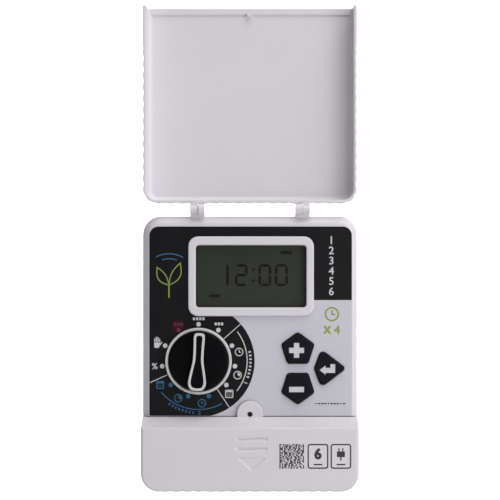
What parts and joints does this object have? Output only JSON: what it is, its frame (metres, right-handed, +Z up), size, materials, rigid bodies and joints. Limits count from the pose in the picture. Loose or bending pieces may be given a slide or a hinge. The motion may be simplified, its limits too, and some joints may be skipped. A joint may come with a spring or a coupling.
{
  "type": "irrigation controller",
  "caption": "Wall-mounted irrigation timer: hinged flip-up cover, display, rotary selector, press keys and a removable cover over the wiring terminals.",
  "frame": {"origin": "middle of the flat back face of the housing, on the wall plane", "axes": "+X to the right seen from the front, +Y into the wall, +Z up; the front faces -Y"},
  "size_m": [0.13, 0.038, 0.2922],
  "materials": {
    "white_shell": "satin moulded",
    "label_black": "satin printed film",
    "label_pale": "satin printed film",
    "print_white": "printed",
    "print_green": "printed",
    "print_blue": "printed",
    "print_red": "printed",
    "print_dark": "printed",
    "knob_black": "satin moulded",
    "knob_white": "satin moulded",
    "black_rubber": "matt",
    "lens_clear": "clear",
    "lcd_olive": "smooth",
    "inner_plastic": "matt moulded",
    "dark_plastic": "matt moulded",
    "board_green": "solder resist",
    "terminal_green": "moulded",
    "steel": "plated",
    "black_steel": "blackened",
    "can_aluminium": "satin",
    "contact_brass": "satin"
  },
  "bodies": {
    "housing": {"rear_case": "white_shell", "front_case": "white_shell", "fascia_label": "label_black", "hinge_pin_left": "steel", "hinge_pin_right": "steel", "case_screw_1": "steel", "case_screw_2": "steel", "case_screw_3": "steel", "case_screw_4": "steel", "display_window": "lens_clear", "lcd_panel": "lcd_olive", "lcd_holder": "inner_plastic", "lcd_connector": "black_rubber", "detent_spring": "steel", "keypad_mat": "black_rubber", "circuit_board": "board_green", "board_screw_1": "steel", "board_screw_2": "steel", "board_screw_3": "steel", "board_screw_4": "steel", "microcontroller": "dark_plastic", "filter_capacitor": "can_aluminium", "rectifier": "dark_plastic", "fuse": "steel", "battery_holder": "dark_plastic", "coin_cell": "steel", "triac_1": "dark_plastic", "triac_2": "dark_plastic", "triac_3": "dark_plastic", "triac_4": "dark_plastic", "triac_5": "dark_plastic", "triac_6": "dark_plastic", "triac_7": "dark_plastic", "terminal_block": "terminal_green", "terminal_screw_1": "steel", "terminal_screw_2": "steel", "terminal_screw_3": "steel", "terminal_screw_4": "steel", "terminal_screw_5": "steel", "terminal_screw_6": "steel", "terminal_screw_7": "steel", "terminal_screw_8": "steel", "terminal_screw_9": "steel", "terminal_screw_10": "steel"},
    "flip_cover": {"cover": "white_shell"},
    "dial": {"dial_knob": "knob_black", "dial_ring": "knob_white", "dial_outline": "knob_white", "dial_rotor": "inner_plastic", "dial_wiper": "contact_brass", "dial_clip": "steel"},
    "plus_key": {"plus_button": "black_rubber", "plus_contact": "black_rubber"},
    "minus_key": {"minus_button": "black_rubber", "minus_contact": "black_rubber"},
    "enter_key": {"enter_button": "black_rubber", "enter_contact": "black_rubber"},
    "lower_cover": {"terminal_cover": "white_shell", "terminal_cover_screw": "black_steel"}
  },
  "joints": [
    {"name": "cover_hinge", "type": "hinge", "parent": "housing", "child": "flip_cover", "pos_m": [0, -0.022, 0.0865], "axis": [1, 0, 0], "range_deg": [0, 180]},
    {"name": "dial_turn", "type": "hinge", "parent": "housing", "child": "dial", "pos_m": [-0.0311, -0.02, -0.0052], "axis": [0, 1, 0], "continuous": true},
    {"name": "plus_press", "type": "slide", "parent": "housing", "child": "plus_key", "axis": [0, 1, 0], "range_m": [0, 0.0013], "stiffness_N_per_m": 700},
    {"name": "minus_press", "type": "slide", "parent": "housing", "child": "minus_key", "axis": [0, 1, 0], "range_m": [0, 0.0013], "stiffness_N_per_m": 700},
    {"name": "enter_press", "type": "slide", "parent": "housing", "child": "enter_key", "axis": [0, 1, 0], "range_m": [0, 0.0013], "stiffness_N_per_m": 700},
    {"name": "terminal_cover_slide", "type": "slide", "parent": "housing", "child": "lower_cover", "axis": [0, 0, -1], "range_m": [0, 0.085]}
  ]
}
